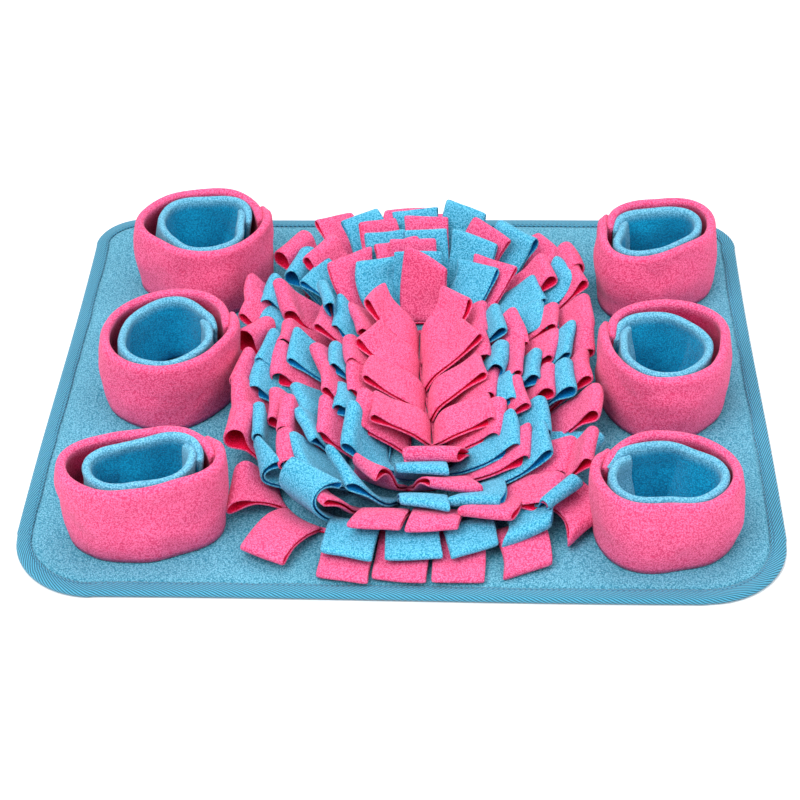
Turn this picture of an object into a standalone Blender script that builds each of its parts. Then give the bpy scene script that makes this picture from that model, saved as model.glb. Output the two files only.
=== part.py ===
"""Snuffle mat of fleece: a bound base mat, six double-walled cups and a pile of looped strips.

The mat lies flat with its middle at the origin, +X to the right, +Y to the back and +Z up.
All sizes below are in millimetres. The meshes are in metres.
"""
import math
from collections import namedtuple

import bmesh
import bpy
from mathutils import Vector

MM = 0.001

# Base mat
MAT_WIDTH = 500.0
MAT_DEPTH = 430.0
NEAR_CORNER = 56.0  # radius of the two front corners
FAR_CORNER = 36.0  # radius of the two back corners
EDGE_WAVE = 1.2  # how far the long edges wander from straight
FIELD_THICK = 4.5
FLAP_THICK = 2.2  # the panel pressed thin inside its binding
GAP = 0.3  # between pieces that touch

# Edge binding
TAPE_THICK = 1.0
TAPE_LAP = 10.0

# Fleece
LAYER = 2.0
CUP_LAYER = 2.4
FOLD_GAP = 0.8  # between the two layers of a doubled strip, near its root
EYE_GAP = 1.4  # the same, just inside the fold
FLOOR = FIELD_THICK + GAP  # what is sewn to the mat starts here

# Loops
LOOP_WIDTH = 33.5
SLIT = 1.3  # the least gap between two loops of a row
BAND_TOP = FLOOR + 2.5
KNEE = 14.0  # from the root to where a loop bends over
CROWDED = 120.0  # a loop sewn nearer than this to a cup's middle leans less
CROWDING = 0.20 / 40  # by this share for each mm nearer
RUFFLE = 2.6  # how far the tips are pushed this way and that
RUFFLE_TOP = 40.0  # at this height above the mat
RUFFLE_ASIDE, RUFFLE_ALONG = 15.0, 17.0  # a push swings to and fro over about six times this
RUFFLE_TURN = 30.0  # and drifts over six times this

# x is a row's middle. half, front and back say how far its sewing line lies from x and from y = 0. near and
# far are the radii of its front and back corners. Its first loop lies start loops past the middle of the
# front. The rest is the loops' length and their lean from upright in degrees, below and above the knee, for
# the front, the sides and the back.
Row = namedtuple("Row", "name colour x half front back near far start length "
                        "low_front high_front low_side high_side low_back high_back")
ROWS = [
    Row("loops_row_1", "pink", 7.0, 91.0, 158.5, 156, 50, 80, -0.1, 46, 80, 92, 50, 50, 60, 80),
    Row("loops_row_2", "blue", 7.5, 76.0, 149.0, 143, 45, 70, 0.0, 46, 46, 90, 49, 51, 34, 40),
    Row("loops_row_3", "pink", 8.0, 63.0, 139.0, 130, 40, 58, 0.5, 46, 43, 60, 48, 52, 30, 38),
    Row("loops_row_4", "blue", 8.0, 49.0, 127.0, 116, 35, 46, 0.2, 46, 42, 57, 47, 53, 28, 36),
    Row("loops_row_5", "pink", 8.0, 36.0, 114.0, 102, 29, 34, 0.0, 46, 41, 54, 46, 54, 28, 36),
    Row("loops_row_6", "blue", 8.0, 25.0, 103.0, 88, 22, 24, 0.5, 46, 40, 52, 46, 54, 27, 35),
    Row("loops_row_7", "pink", 8.0, 14.0, 93.0, 74, 13, 13, 0.0, 46, 38, 50, 46, 54, 27, 34),
    Row("loops_row_8", "pink", 8.0, 3.0, 74.0, 62, 3, 3, 0.5, 50, 38, 50, 46, 54, 27, 34),
]

# x and y are the middle of a cup's rim, lean is how far its base lies from there to the side, flare how much
# wider the base is. rim and lining hold how far each ring's rim lies from that middle, at eight points of the
# compass from the right, anticlockwise.
Cup = namedtuple("Cup", "name x y height lean flare rim lining")
CUPS = [
    Cup("front_left", -163, -154, 66, -4, 1,
        rim=(47, 40, 28, 30, 47, 40, 31, 32), lining=(33, 32, 17, 16, 32, 31, 23, 25)),
    Cup("mid_left", -164, -5, 59, -4, 3,
        rim=(41, 44, 45, 41, 40, 45, 45, 40), lining=(29, 29, 38, 33, 32, 38, 38, 33)),
    Cup("back_left", -156, 126, 62, -4, 3,
        rim=(46, 45, 42, 43, 46, 38, 42, 44), lining=(31, 37, 33, 35, 30, 29, 35, 36)),
    Cup("front_right", 170, -153, 60, 4, 1,
        rim=(44, 39, 35, 37, 42, 42, 35, 40), lining=(37, 27, 28, 30, 35, 35, 28, 33)),
    Cup("mid_right", 179, -14, 59, 4, 3,
        rim=(40, 46, 43, 43, 39, 41, 44, 41), lining=(30, 26, 30, 33, 30, 34, 37, 33)),
    Cup("back_right", 181, 118, 62, 4, 3,
        rim=(39, 46, 36, 38, 37, 44, 33, 30), lining=(30, 36, 28, 30, 27, 36, 25, 22)),
]
CUP_STEPS = 24
BAND_SWELL = 0.8  # how far a band bellies out half way up
LINING_DROP = 1.5  # from the rim of a band to that of its lining

COLOURS = {"blue": (0.11, 0.43, 0.62, 1), "pink": (0.87, 0.17, 0.36, 1), "teal": (0.06, 0.29, 0.43, 1)}


def material(name):
    """One finish for all pieces of a colour."""
    found = bpy.data.materials.get(name)
    if found:
        return found
    made = bpy.data.materials.new(name)
    made.use_nodes = True
    shader = made.node_tree.nodes["Principled BSDF"]
    shader.inputs["Base Color"].default_value = COLOURS[name]
    shader.inputs["Roughness"].default_value = 0.95
    shader.inputs["Metallic"].default_value = 0.0
    made.diffuse_color = COLOURS[name]
    return made


def add_object(bm, name, colour):
    """Turns a bmesh in millimetres into an object in metres, with its faces outwards."""
    bmesh.ops.scale(bm, vec=(MM, MM, MM), verts=bm.verts)
    bmesh.ops.recalc_face_normals(bm, faces=bm.faces)
    mesh = bpy.data.meshes.new(name)
    bm.to_mesh(mesh)
    bm.free()
    mesh.materials.append(material(colour))
    piece = bpy.data.objects.new(name, mesh)
    bpy.context.collection.objects.link(piece)
    return piece


# ---------------------------------------------------------------- base mat and binding

def mat_outline(inset):
    """The mat's outline, that far inside its edge: rounded corners joined by sides that wander a little."""
    corners = [
        (1, -1, NEAR_CORNER, -90),
        (1, 1, FAR_CORNER, 0),
        (-1, 1, FAR_CORNER, 90),
        (-1, -1, NEAR_CORNER, 180),
    ]
    steps = 6
    points = []
    for side_x, side_y, radius, start in corners:
        middle = Vector((side_x * (MAT_WIDTH / 2 - radius), side_y * (MAT_DEPTH / 2 - radius), 0))
        for step in range(steps + 1):
            angle = math.radians(start + 90 * step / steps)
            points.append(middle + (radius - inset) * Vector((math.cos(angle), math.sin(angle), 0)))
    wandering = []
    parts = 4
    for index, point in enumerate(points):
        wandering.append(point)
        if index % (steps + 1) == steps:
            after = points[(index + 1) % len(points)]
            out = Vector(((after - point).y, -(after - point).x, 0)).normalized()
            for part in range(1, parts):
                share = part / parts
                wave = EDGE_WAVE * math.sin(2 * math.pi * share) * (1 if index > 2 * steps else -1)
                wandering.append(point.lerp(after, share) + out * wave)
    return wandering


def add_loop(bm, points, height):
    """A loop of corners above those points."""
    return [bm.verts.new((point.x, point.y, height)) for point in points]


def skin(bm, loops, closed=False):
    """Joins each loop of corners to the next one with four-sided faces."""
    pairs = list(zip(loops, loops[1:]))
    if closed:
        pairs.append((loops[-1], loops[0]))
    for lower, upper in pairs:
        for here in range(len(lower)):
            there = (here + 1) % len(lower)
            bm.faces.new((lower[here], lower[there], upper[there], upper[here]))


def add_panel():
    """One fleece panel, thin where the binding holds it and lying on the floor inside that."""
    edge = TAPE_THICK + GAP
    step = TAPE_LAP + GAP
    section = [
        (step + 2 * GAP, 0.0),
        (step + GAP, edge),
        (edge, edge),
        (edge, edge + FLAP_THICK),
        (step, edge + FLAP_THICK),
        (step + GAP, FIELD_THICK),
    ]
    bm = bmesh.new()
    loops = [add_loop(bm, mat_outline(inset), height) for inset, height in section]
    skin(bm, loops)
    bm.faces.new(loops[0])
    bm.faces.new(loops[-1])
    return add_object(bm, "mat_panel", "blue")


def add_binding():
    """A twill tape folded round the edge: its section is a C, open inwards."""
    upper = TAPE_THICK + FLAP_THICK + 2 * GAP
    top = upper + TAPE_THICK
    turn = 0.8 * TAPE_THICK
    outside = [(TAPE_LAP, 0.0), (turn, 0.0), (0.0, turn), (0.0, top - turn), (turn, top), (TAPE_LAP, top)]
    inside = [(TAPE_LAP, upper), (TAPE_THICK, upper), (TAPE_THICK, TAPE_THICK), (TAPE_LAP, TAPE_THICK)]
    bm = bmesh.new()
    skin(bm, [add_loop(bm, mat_outline(inset), height) for inset, height in outside + inside], closed=True)
    return add_object(bm, "edge_binding", "teal")


# ---------------------------------------------------------------- cups

def compass(radii, angle):
    """A smooth radius between eight measured ones."""
    place = angle / (2 * math.pi) * len(radii)
    index = math.floor(place)
    share = place - index
    before, here, there, after = (radii[(index + shift) % len(radii)] for shift in (-1, 0, 1, 2))
    pull_here = (there - before) / 2
    pull_there = (after - here) / 2
    rise = there - here
    return (here + share * pull_here + share**2 * (3 * rise - 2 * pull_here - pull_there)
            + share**3 * (pull_here + pull_there - 2 * rise))


def cup_line(cup, radii, height):
    """A ring's middle line at a height, with the way outwards at each point."""
    up = (height - FLOOR) / (cup.height - FLOOR)
    middle = Vector((cup.x + cup.lean * (1 - up), cup.y, 0))
    points = []
    for step in range(CUP_STEPS):
        angle = 2 * math.pi * step / CUP_STEPS
        radius = compass(radii, angle) + cup.flare * (1 - up)
        points.append(middle + radius * Vector((math.cos(angle), math.sin(angle), 0)))
    outs = []
    for step in range(CUP_STEPS):
        along = points[(step + 1) % CUP_STEPS] - points[step - 1]
        outs.append(Vector((along.y, -along.x, 0)).normalized())
    return points, outs


def add_cup_ring(cup, radii, name, colour, rim_height, swell):
    """A doubled strip of fleece sewn into a ring: its section is a narrow arch with the fold at the rim."""
    gap = FOLD_GAP / 2
    half = CUP_LAYER + gap
    shoulder = rim_height - half
    outside = [(half, FLOOR), (half + swell, (FLOOR + shoulder) / 2), (half, shoulder), (0.0, rim_height)]
    inside = [(-half, shoulder), (-half, FLOOR)]
    fold = [(-gap, FLOOR), (0.0, rim_height - CUP_LAYER - FOLD_GAP), (gap, FLOOR)]
    bm = bmesh.new()
    loops = []
    for out, height in outside + inside + fold:
        line = cup_line(cup, radii, height)
        loops.append(add_loop(bm, [point + way * out for point, way in zip(*line)], height))
    skin(bm, loops, closed=True)
    return add_object(bm, name, colour)


# ---------------------------------------------------------------- rows of loops

def sewing_line(row):
    """The row's line on the mat, anticlockwise from the middle of its front: points and ways outwards."""
    front = Vector((row.x, -row.front, 0))
    corners = [
        (1, row.near - row.front, row.near, -90),
        (1, row.back - row.far, row.far, 0),
        (-1, row.back - row.far, row.far, 90),
        (-1, row.near - row.front, row.near, 180),
    ]
    steps, parts = 12, 8
    line = [(front, Vector((0, -1, 0)))]
    for side, y, radius, start in corners:
        middle = Vector((row.x + side * (row.half - radius), y, 0))
        arc = []
        for step in range(steps + 1):
            angle = math.radians(start + 90 * step / steps)
            out = Vector((math.cos(angle), math.sin(angle), 0))
            arc.append((middle + radius * out, out))
        last, out = line[-1]
        line += [(last.lerp(arc[0][0], part / parts), out) for part in range(1, parts)] + arc
    line.append((front, Vector((0, -1, 0))))
    return line


def leans(row, point, out):
    """How far a loop leans below and above its knee, in radians, where the row faces that way."""
    front, side, back = max(0.0, -out.y) ** 2, out.x**2, max(0.0, out.y) ** 2
    low = front * row.low_front + side * row.low_side + back * row.low_back
    high = front * row.high_front + side * row.high_side + back * row.high_back
    free = 1.0
    for cup in CUPS:
        free -= CROWDING * max(0.0, CROWDED - math.hypot(point.x - cup.x, point.y - cup.y))
    return math.radians(low * free), math.radians(high * free)


def on_layer(row, point, out, up):
    """The middle of the row's cloth that far up from the root, and the way across the cloth there."""
    low, high = leans(row, point, out)
    lower, upper = min(up, KNEE), max(up - KNEE, 0.0)
    if up <= 0:
        lean = low / 2
    elif up <= KNEE:
        lean = (low + high) / 2
    else:
        lean = high
    reach = lower * math.sin(low) + upper * math.sin(high)
    height = BAND_TOP + lower * math.cos(low) + upper * math.cos(high)
    across = out * math.cos(lean) - Vector((0, 0, math.sin(lean)))
    return point + out * reach + Vector((0, 0, height)), across


def lengths_along(points):
    """How far each point lies from the first, along the line through them."""
    lengths = [0.0]
    for here, there in zip(points, points[1:]):
        lengths.append(lengths[-1] + (there - here).length)
    return lengths


def between(xs, ys, x):
    """Reads y at x from a rising table."""
    for index in range(1, len(xs) - 1):
        if x < xs[index]:
            break
    else:
        index = len(xs) - 1
    span = xs[index] - xs[index - 1]
    share = (x - xs[index - 1]) / span if span else 0.0
    return ys[index - 1] + (ys[index] - ys[index - 1]) * share


class Strip:
    """One row's cloth: where any point of it lies, from its place along the sewing line."""

    def __init__(self, row):
        self.row = row
        self.line = sewing_line(row)
        self.root = lengths_along([point for point, out in self.line])
        self.round = self.root[-1]
        self.levels = {}

    def level(self, up):
        """Lengths along the cloth at that height, for the points of the sewing line."""
        if up not in self.levels:
            points = [on_layer(self.row, point, out, up)[0] for point, out in self.line]
            self.levels[up] = lengths_along(points)
        return self.levels[up]

    def beside(self, place, up, shift):
        """The place along the sewing line that lies to one side of another at a height."""
        level = self.level(up)
        target = between(self.root, level, place % self.round) + shift
        turns = math.floor(target / level[-1])
        rest = between(level, self.root, target - turns * level[-1])
        return rest + (turns + place // self.round) * self.round

    def cloth(self, place, up):
        """The middle of the cloth and the way across it."""
        place %= self.round
        for index in range(1, len(self.root) - 1):
            if place < self.root[index]:
                break
        else:
            index = len(self.root) - 1
        span = self.root[index] - self.root[index - 1]
        share = (place - self.root[index - 1]) / span if span else 0.0
        (here, out_here), (there, out_there) = self.line[index - 1], self.line[index]
        return on_layer(self.row, here.lerp(there, share), out_here.lerp(out_there, share).normalized(), up)


def ruffled(point):
    """Pushes the loops of all rows about together, more the higher they reach."""
    push = RUFFLE * (point.z - FLOOR) / RUFFLE_TOP
    aside = math.sin(point.y / RUFFLE_ASIDE + math.sin(point.x / RUFFLE_TURN))
    along = math.sin(point.x / RUFFLE_ALONG + math.sin(point.y / RUFFLE_TURN))
    return point + Vector((push * aside, push * along, 0))


def loop_sections(length):
    """How far up and off the middle the cloth's two faces lie, from the outer root over to the inner."""
    root, eye = FOLD_GAP / 2, EYE_GAP / 2
    shoulder = length - LAYER - eye
    outer = [(0.0, root + LAYER, root), (KNEE, root + LAYER, root), (shoulder, eye + LAYER, eye)]
    over = [((length, 0.0), (length - LAYER, 0.0))]
    rising = [((up, far), (up, near)) for up, far, near in outer]
    falling = [((up, -far), (up, -near)) for up, far, near in reversed(outer)]
    return rising + over + falling


def add_row(row):
    """A folded strip slit into loops, all of one piece with the narrow band that is sewn down."""
    strip = Strip(row)
    count = int(strip.round / (LOOP_WIDTH + SLIT))
    pitch = strip.round / count
    half = LAYER + FOLD_GAP / 2
    bm = bmesh.new()
    bands, tops = [], []
    for index in range(count):
        middle = (index + row.start) * pitch
        corners = []
        for section in loop_sections(row.length):
            points = []
            for side in (-1, 1):
                for up, aside in section:
                    edge = strip.beside(middle, up, side * LOOP_WIDTH / 2)
                    across = strip.cloth(middle if up else edge, up)[1]
                    points.append(ruffled(strip.cloth(edge, up)[0] + across * aside))
            corners.append([bm.verts.new(point) for point in points])
        for side in (0, 1):
            edge, across = strip.cloth(strip.beside(middle, 0.0, (side - 0.5) * LOOP_WIDTH), 0.0)
            feet = [edge + across * half, edge - across * half]
            outer_foot, inner_foot = (bm.verts.new((foot.x, foot.y, FLOOR)) for foot in feet)
            outer_far, outer_near = corners[0][2 * side:2 * side + 2]
            inner_far, inner_near = corners[-1][2 * side:2 * side + 2]
            bands.append([outer_foot, outer_far, outer_near, inner_near, inner_far, inner_foot])
        tops.append(corners)
    for index, here in enumerate(bands):
        there = bands[(index + 1) % len(bands)]
        carries_cloth = index % 2 == 0
        for edge in range(len(here)):
            after = (edge + 1) % len(here)
            if not (carries_cloth and edge in (1, 3)):
                bm.faces.new((here[edge], here[after], there[after], there[edge]))
    for corners in tops:
        for step, (lower, upper) in enumerate(zip(corners, corners[1:])):
            bm.faces.new((lower[0], lower[1], upper[1], upper[0]))
            bm.faces.new((lower[3], lower[2], upper[2], upper[3]))
            rising = step < len(corners) // 2
            for left, right in ((0, 2), (1, 3)) if rising else ((2, 0), (3, 1)):
                bm.faces.new((lower[left], lower[right], upper[right]))
                bm.faces.new((lower[left], upper[right], upper[left]))
    return add_object(bm, row.name, row.colour)


def main():
    for piece in list(bpy.data.objects):
        bpy.data.objects.remove(piece, do_unlink=True)
    add_panel()
    add_binding()
    for cup in CUPS:
        add_cup_ring(cup, cup.rim, "cup_band_" + cup.name, "pink", cup.height, BAND_SWELL)
        add_cup_ring(cup, cup.lining, "cup_lining_" + cup.name, "blue", cup.height - LINING_DROP, 0.0)
    for row in ROWS:
        add_row(row)


main()
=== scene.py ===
"""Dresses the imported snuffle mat: nubby fleece, a twill binding, soft cups and a pile of slit loops.

Lengths in the tables and in the drafting functions are millimetres, as on a maker's pattern. The finished
meshes and the settings are in metres.
"""
import math
import random
from bisect import bisect_right
from collections import namedtuple

import bmesh
import bpy
from mathutils import Euler, Matrix, Vector, noise


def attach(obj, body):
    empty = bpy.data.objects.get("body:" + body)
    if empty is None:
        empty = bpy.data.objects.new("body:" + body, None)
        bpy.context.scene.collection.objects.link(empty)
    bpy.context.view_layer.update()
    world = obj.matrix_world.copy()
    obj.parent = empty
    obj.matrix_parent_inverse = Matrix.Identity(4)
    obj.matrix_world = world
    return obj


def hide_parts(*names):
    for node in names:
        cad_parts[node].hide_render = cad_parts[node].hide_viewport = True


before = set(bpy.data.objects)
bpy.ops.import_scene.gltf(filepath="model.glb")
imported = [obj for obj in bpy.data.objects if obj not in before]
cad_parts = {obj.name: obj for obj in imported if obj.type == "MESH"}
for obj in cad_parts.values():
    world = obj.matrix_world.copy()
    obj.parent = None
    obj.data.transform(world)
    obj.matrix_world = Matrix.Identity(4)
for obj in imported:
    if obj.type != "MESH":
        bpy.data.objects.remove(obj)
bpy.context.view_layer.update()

bl_info = {
    "name": "Snuffle mat",
    "version": (1, 0, 0),
    "blender": (4, 5, 0),
    "location": "3D View > Sidebar > Snuffle mat",
    "description": "Fleece, binding, cups and loops for the packed snuffle mat",
    "category": "Add Mesh",
}

MM = 0.001
TAU = 2 * math.pi

# ---------------------------------------------------------------- pattern

# A row of loops is one strip of fleece, folded lengthwise, slit into loops and sewn down along its root.
# x is the row's middle. half, front and back say how far its sewing line lies from x and from y = 0. near
# and far are the radii of its front and back corners. The first loop lies start loops past the middle of
# the front. The rest is the loops' length and their lean from upright in degrees, below and above the
# knee, for the front, the sides and the back.
Row = namedtuple("Row", "name colour x half front back near far start length "
                        "low_front high_front low_side high_side low_back high_back")
ROWS = [
    Row("loops_row_1", "pink", 7.0, 91.0, 158.5, 156, 50, 80, -0.1, 46, 80, 92, 50, 50, 60, 80),
    Row("loops_row_2", "blue", 7.5, 76.0, 149.0, 143, 45, 70, 0.0, 46, 46, 90, 49, 51, 34, 40),
    Row("loops_row_3", "pink", 8.0, 63.0, 139.0, 130, 40, 58, 0.5, 46, 43, 60, 48, 52, 30, 38),
    Row("loops_row_4", "blue", 8.0, 49.0, 127.0, 116, 35, 46, 0.2, 46, 42, 57, 47, 53, 28, 36),
    Row("loops_row_5", "pink", 8.0, 36.0, 114.0, 102, 29, 34, 0.4, 46, 41, 54, 46, 54, 28, 36),
    Row("loops_row_6", "blue", 8.0, 25.0, 103.0, 88, 22, 24, 0.1, 46, 40, 52, 46, 54, 27, 35),
    Row("loops_row_7", "pink", 8.0, 14.0, 93.0, 74, 13, 13, 0.0, 46, 38, 50, 46, 54, 27, 34),
    Row("loops_row_8", "pink", 8.0, 2.3, 75.0, 62.5, 2.3, 2.3, 0.5, 50, 38, 50, 20, 63, 27, 34),
]

# x and y are the middle of a cup's rim, lean is how far its base lies from there to the side, flare how
# much wider the base is. rim and lining hold how far each ring's rim lies from that middle, at eight points
# of the compass from the right, anticlockwise. tuck is how far the base is drawn in on the mat's outer side.
Cup = namedtuple("Cup", "name x y height lean flare rim lining tuck")
CUPS = [
    Cup("front_left", -163, -154, 66, -4, 1,
        rim=(47, 40, 28, 33, 50, 42, 31, 32), lining=(33, 34, 21, 20, 35, 33, 23, 25), tuck=6),
    Cup("mid_left", -164, -5, 59, -4, 3,
        rim=(41, 44, 45, 43, 44, 46, 45, 40), lining=(29, 29, 38, 33, 32, 38, 38, 33), tuck=6),
    Cup("back_left", -156, 126, 62, -4, 3,
        rim=(46, 45, 42, 43, 46, 38, 42, 44), lining=(31, 37, 33, 35, 30, 29, 35, 36), tuck=6),
    Cup("front_right", 170, -153, 60, 4, 1,
        rim=(44, 39, 35, 37, 42, 42, 35, 40), lining=(37, 27, 28, 30, 35, 35, 28, 33), tuck=5),
    Cup("mid_right", 179, -14, 59, 4, 3,
        rim=(40, 46, 43, 43, 39, 41, 44, 41), lining=(30, 26, 30, 33, 30, 34, 37, 33), tuck=7),
    Cup("back_right", 181, 118, 62, 4, 3,
        rim=(39, 46, 36, 38, 37, 44, 33, 30), lining=(30, 36, 28, 30, 27, 36, 25, 22), tuck=6),
]

# A cup has two rings, each a doubled strip with its ends lapped. The ring's inner end lies start degrees
# to the back from the side that faces the pile, and way is 1 where the strip runs on from there to the back.
# seed sets its waves apart, and roll is the share of the rim's roll that it has.
Ring = namedtuple("Ring", "node body_slot start way seed roll")
BAND = Ring("cup_band_", "fleece_pink", 9, 1, 0, 1.0)
LINING = Ring("cup_lining_", "fleece_blue", 38, -1, 5, 0.6)

GAP = 0.3  # between pieces that are sewn or pressed together

# The edge of the mat
EDGE_WAVE = 0.96  # how far the edges wander from straight
EDGE_RINGS = [4.0, 8.0, 10.3, 10.9, 11.7, 12.8, 14.5, 17.0, 20.5]  # how far in the outer rings of faces lie
EDGE_RISE = 2.2  # the pressed edge rises to the full thickness over this
UNDERSIDE = 10.5  # the mat rests on the floor from this far inside its edge
CROWN, CROWN_AT, CROWN_WIDTH = 0.6, 18, 9  # the soft roll beside the binding: its height, place and width
TAPE_PUFF = 0.3  # how far the tape swells between its edges
STITCH_IN = 1.7  # from the tape's inner edge to its stitches
STITCH_AT = 0.08  # where they lie across the tape, as a share of its width
STITCH_WIDTH, STITCH_HEIGHT = 0.30, 0.24  # half of a stitch's
STITCH_PROUD = 0.05  # how far the middle of a stitch lies above the tape

# The walls of the cups
LAYER_GAP = 0.8  # between the two layers of a ring
LAP_GAP = 0.5  # between its two ends where they lap
LAP_EASE = 0.7  # an end is back in line this far past the lap, in radians
SHUT_OVER = 8  # the two layers part over this, from a closed end
END_DROP, END_DROP_OVER = 3.5, 14  # how far the rim sinks towards a closed end, and over what length
TUCK_PAST = 0.4  # a tuck reaches past a quarter turn by this cosine
SEED_STEP = 0.013  # for each mm of a cup's place, so that no two cups are alike
CREASE_CURVE = 0.8  # under 1, so that the hills of a wall meet in creases
CREASE_SIZE, CREASE_DEPTH, CREASE_OUT = 42, 3.0, 2.5  # their size and depth, and how far the wall swells
PINCH_LOBES, PINCH_LEAST, PINCH_DEPTH = 3, 0.5, 7.0  # the bulges of a lining below its rim
PINCH_TURN, PINCH_SLANT = 1.3, 0.5  # in radians: from one cup's bulges to another's, and from foot to rim
SHADE_FROM, SHADE_OVER = 2, 7  # how far below a rim the painted shade starts, and over what depth it comes in full
FACET, FACET_SLANT, FACET_EDGE = 20, 0.4, 4  # painted light at a lining's lapped end, a facet left clear of the painted shade: width, slant and edge

# The lie of the loops
ROOT = 2.5  # how far above the mat a loop starts
KNEE, KNEE_BEND = 14.0, 14.0  # from the root to where a loop bends over, and over what length it bends
CURL_FROM = 0.45  # the share of a loop's length from which it curls
SLIT = 1.3  # the least gap between two loops of a row
FOLD = 12.0  # a loop's two layers part over this, below its fold
CROWDED = 120.0  # a loop sewn nearer than this to a cup's middle leans less
CROWDING = 0.20 / 40  # by this share for each mm nearer
RUFFLE = 2.6  # how far the tips are pushed this way and that
RUFFLE_TOP = 40.0  # at this height above the mat
RUFFLE_ASIDE, RUFFLE_ALONG = 15.0, 17.0  # a push swings to and fro over about six times this
RUFFLE_TURN = 30.0  # and drifts over six times this
PILE_X = 8.0  # the middle of the pile
BOW = 12.0  # how far the middle of the pile wanders aside in front
BOW_BACK, BOW_BACK_OVER = 25, 95  # it starts at this y and grows over this length
BOW_FRONT, BOW_FRONT_OVER = -112, 38  # it is gone again at this y, after shrinking over this length
BOW_WIDTH = 60  # it reaches this far to either side of the pile's middle
DROOP = 36.0  # how far the tips of the upright loops in front bend down, in degrees
UPRIGHT, DROOP_OVER = math.radians(75), 0.25  # loops past this lean don't, and the droop fades over this
EYE_FRONT, EYE_SIDE = 0.7, 1.2  # how wide the folds of the loops stand open, in front and at the sides
BAND_RISE = 0.6  # how far a strip's sewn band reaches up between its loops' layers
BAND_CLEAR = 1.1  # from the mat to the middle of the band's cloth

# Waves in the cloth: about how far one lies from the next, and how far they go
MAT_WAVES = (34, 0.5)
TAPE_WAVES = (26, 0.9)
WALL_WAVES, WALL_PUCKERS = (30, 3.0), (12, 0.8)
RIM_WAVES = (38, 2.2)
LOOP_WAVES, LOOP_PUCKERS = (31, 1.8), (13, 0.6)

# How finely each piece is meshed
PANEL_RINGS = 64
OUTLINE_STEPS = 400
TAPE_ALONG, TAPE_ACROSS = 620, 22
RING_ALONG, RING_ACROSS = 150, 44
RIM_FINER = 1.6  # draws a ring's faces together at its rim
ARC_STEPS, SIDE_STEPS = 12, 8
LOOP_ACROSS, LOOP_UP, FOLD_STEPS = 6, 8, 6
SPINE_STEP = 0.5
BAND_STEP = 4


# ---------------------------------------------------------------- settings

def length(name, description, default):
    """A length in metres that shows in the panel."""
    return bpy.props.FloatProperty(name=name, description=description, default=default, unit="LENGTH",
                                   precision=4)


def colour(name, description, default):
    """A colour that shows in the panel."""
    return bpy.props.FloatVectorProperty(name=name, description=description, default=default, size=3,
                                         subtype="COLOR", min=0.0, max=1.0)


class MatSettings(bpy.types.PropertyGroup):
    """Sizes of the base mat and its binding"""
    width: length("Width", "From side to side over the binding", 0.500)
    depth: length("Depth", "From front to back over the binding", 0.430)
    near_corner: length("Front corners", "Radius of the two front corners", 0.056)
    far_corner: length("Back corners", "Radius of the two back corners", 0.036)
    field: length("Thickness", "Of the mat inside its binding", 0.0045)
    flap: length("Edge thickness", "Of the mat pressed thin inside its binding", 0.0022)
    tape: length("Tape thickness", "Of the binding tape", 0.001)
    lap: length("Tape width", "How far the tape laps over the mat", 0.010)
    stitch: length("Stitch", "Length of one stitch of the binding", 0.0024)
    pitch: length("Stitch pitch", "From one stitch to the next", 0.0034)


class CupSettings(bpy.types.PropertyGroup):
    """Sizes of the cups"""
    layer: length("Fleece", "Thickness of one layer of a band", 0.0026)
    lining_layer: length("Lining fleece", "Thickness of one layer of a lining", 0.0022)
    roll: length("Roll", "How far the fold at the rim stands out from the wall", 0.0004)
    lap: length("Lap", "How far the two ends of a ring overlap", 0.016)
    drop: length("Lining drop", "From the rim of a band to that of its lining", 0.0015)


class LoopSettings(bpy.types.PropertyGroup):
    """Sizes of the loops"""
    width: length("Width", "Of one loop", 0.0335)
    layer: length("Fleece", "Thickness of one layer of a loop", 0.0019)
    eye: length("Eye", "Radius of the fold at a loop's tip, to the middle of the cloth", 0.0027)
    waist: length("Waist", "Half the distance between the two layers below the fold", 0.0013)
    hem: length("Hem", "How much of a strip's edge is sewn down", 0.0025)
    seed: bpy.props.IntProperty(name="Seed", description="Picks how the loops lie unevenly", default=7)


class ColourSettings(bpy.types.PropertyGroup):
    """Colours of the cloth and of the studio"""
    pink: colour("Pink fleece", "Of the bands and of the pink rows", (0.88, 0.098, 0.265))
    blue: colour("Blue fleece", "Of the blue rows", (0.055, 0.41, 0.62))
    mat: colour("Mat", "Of the fleece mat", (0.075, 0.34, 0.48))
    # rim is paler than the blue rows: partly the lining's frayed fibre, partly painted light on the lit rim
    rim: colour("Lining", "Of a lining's rim", (0.12, 0.42, 0.60))
    # painted shade: hollow is the deeper, richer blue that a lining is tinted to below its rim, inside the
    # cup
    hollow_shade: colour("Hollow", "Of a lining below its rim", (0.004, 0.29, 0.52))
    # painted shade: fold is the deeper red that a band's inner side is tinted to below its rim, between band
    # and lining
    fold: colour("Fold", "Of a band's inner side below its rim", (0.62, 0.020, 0.10))
    # painted shade: the two inside colours are richer, bounce-lit copies of the cloth for the loops' inner
    # sides, in their folds
    pink_inside: colour("Pink inside", "Of the inner side of a pink loop", (0.90, 0.010, 0.075))
    blue_inside: colour("Blue inside", "Of the inner side of a blue loop", (0.004, 0.21, 0.52))
    tape: colour("Tape", "Of the binding", (0.045, 0.25, 0.38))
    thread: colour("Thread", "Of the stitches in the binding", (0.02, 0.13, 0.24))
    floor: colour("Floor", "Of the studio floor", (0.90, 0.90, 0.90))


class SnuffleMatSettings(bpy.types.PropertyGroup):
    """All settings of the snuffle mat"""
    mat: bpy.props.PointerProperty(type=MatSettings)
    cups: bpy.props.PointerProperty(type=CupSettings)
    loops: bpy.props.PointerProperty(type=LoopSettings)
    colours: bpy.props.PointerProperty(type=ColourSettings)


def settings():
    """The scene's settings of the snuffle mat."""
    return bpy.context.scene.snuffle_mat


# ---------------------------------------------------------------- cloth finishes

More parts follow.
